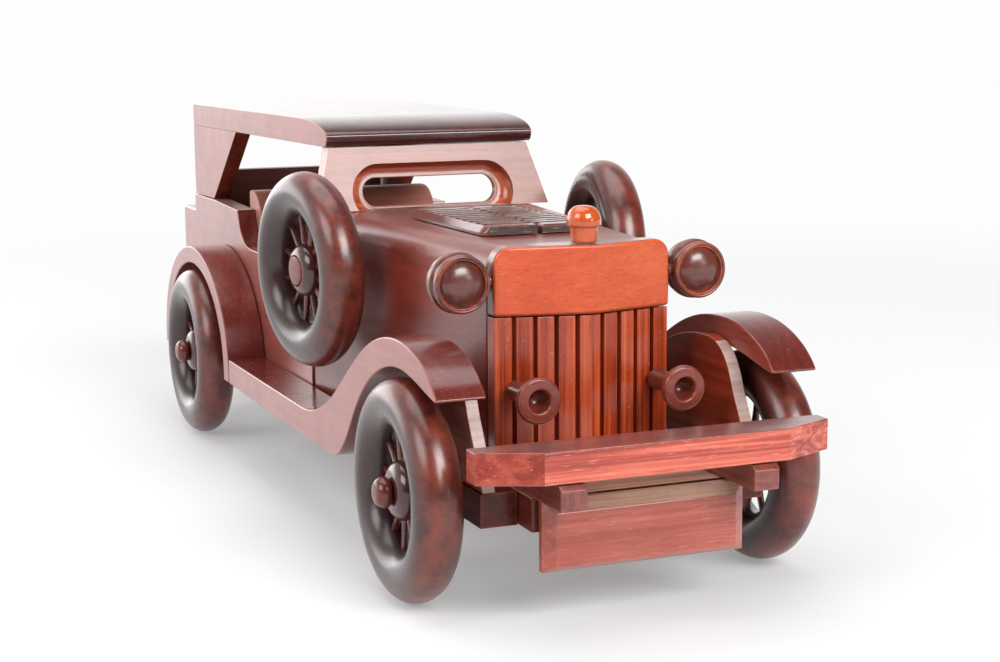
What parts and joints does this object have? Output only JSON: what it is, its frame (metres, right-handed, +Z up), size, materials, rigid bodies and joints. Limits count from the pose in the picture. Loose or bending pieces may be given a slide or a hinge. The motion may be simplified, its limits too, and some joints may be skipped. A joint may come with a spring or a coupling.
{
  "type": "wooden model car",
  "caption": "Stained-wood display model of an open vintage touring car with a pointed radiator, long hood, flat roof, spare wheels and road wheels that turn on pegs.",
  "frame": {"origin": "on the ground, below the middle of the bounding box", "axes": "+Y towards the rear of the car along its length, so the radiator faces -Y; +X towards the car's left side; +Z up"},
  "size_m": [0.1232, 0.366, 0.1212],
  "materials": {
    "ebony": "very dark stain under thick gloss lacquer",
    "walnut": "dark brown stain under gloss lacquer",
    "mahogany": "red-brown stain under satin-gloss lacquer",
    "rosewood": "pinkish red-brown stain under satin lacquer",
    "cherry": "bright orange-red stain with fine horizontal grain under gloss lacquer",
    "amber": "bright orange stain under thick gloss lacquer"
  },
  "bodies": {
    "car": {"chassis_board": "mahogany", "front_axle_block_right": "walnut", "rear_axle_block_right": "walnut", "front_axle_block_left": "walnut", "rear_axle_block_left": "walnut", "axle_peg_front_right": "walnut", "axle_peg_rear_right": "walnut", "spare_tyre_right": "ebony", "spare_hub_right": "walnut", "spare_peg_right": "mahogany", "axle_peg_front_left": "walnut", "axle_peg_rear_left": "walnut", "spare_tyre_left": "ebony", "spare_hub_left": "walnut", "spare_peg_left": "mahogany", "radiator_grille": "mahogany", "radiator_shell": "cherry", "radiator_cap": "amber", "hood_block": "mahogany", "louvre_panel_right": "walnut", "louvre_panel_left": "walnut", "headlamp_right": "walnut", "horn_right": "rosewood", "headlamp_left": "walnut", "horn_left": "rosewood", "windscreen_board": "rosewood", "roof_board": "walnut", "roof_pillar_right": "rosewood", "roof_pillar_left": "rosewood", "body_side_right": "rosewood", "body_side_left": "rosewood", "floor_board": "mahogany", "seat_back": "mahogany", "seat_cushion": "mahogany", "rear_panel": "walnut", "trunk_box": "rosewood", "front_fender_right": "rosewood", "rear_fender_right": "rosewood", "cheek_plate_right": "mahogany", "front_fender_left": "rosewood", "rear_fender_left": "rosewood", "cheek_plate_left": "mahogany", "bumper": "cherry", "bumper_bracket_right": "cherry", "bumper_bracket_left": "cherry", "front_plate": "cherry"},
    "wheel_front_right": {"tyre_front_right": "ebony", "hub_front_right": "walnut"},
    "wheel_front_left": {"tyre_front_left": "ebony", "hub_front_left": "walnut"},
    "wheel_rear_right": {"tyre_rear_right": "ebony", "hub_rear_right": "walnut"},
    "wheel_rear_left": {"tyre_rear_left": "ebony", "hub_rear_left": "walnut"}
  },
  "joints": [
    {"name": "spin_front_right", "type": "hinge", "parent": "car", "child": "wheel_front_right", "pos_m": [-0.0522, -0.1316, 0.03], "axis": [1, 0, 0], "continuous": true},
    {"name": "spin_front_left", "type": "hinge", "parent": "car", "child": "wheel_front_left", "pos_m": [0.0522, -0.1316, 0.03], "axis": [1, 0, 0], "continuous": true},
    {"name": "spin_rear_right", "type": "hinge", "parent": "car", "child": "wheel_rear_right", "pos_m": [-0.0522, 0.1017, 0.0308], "axis": [1, 0, 0], "continuous": true},
    {"name": "spin_rear_left", "type": "hinge", "parent": "car", "child": "wheel_rear_left", "pos_m": [0.0522, 0.1017, 0.0308], "axis": [1, 0, 0], "continuous": true}
  ]
}
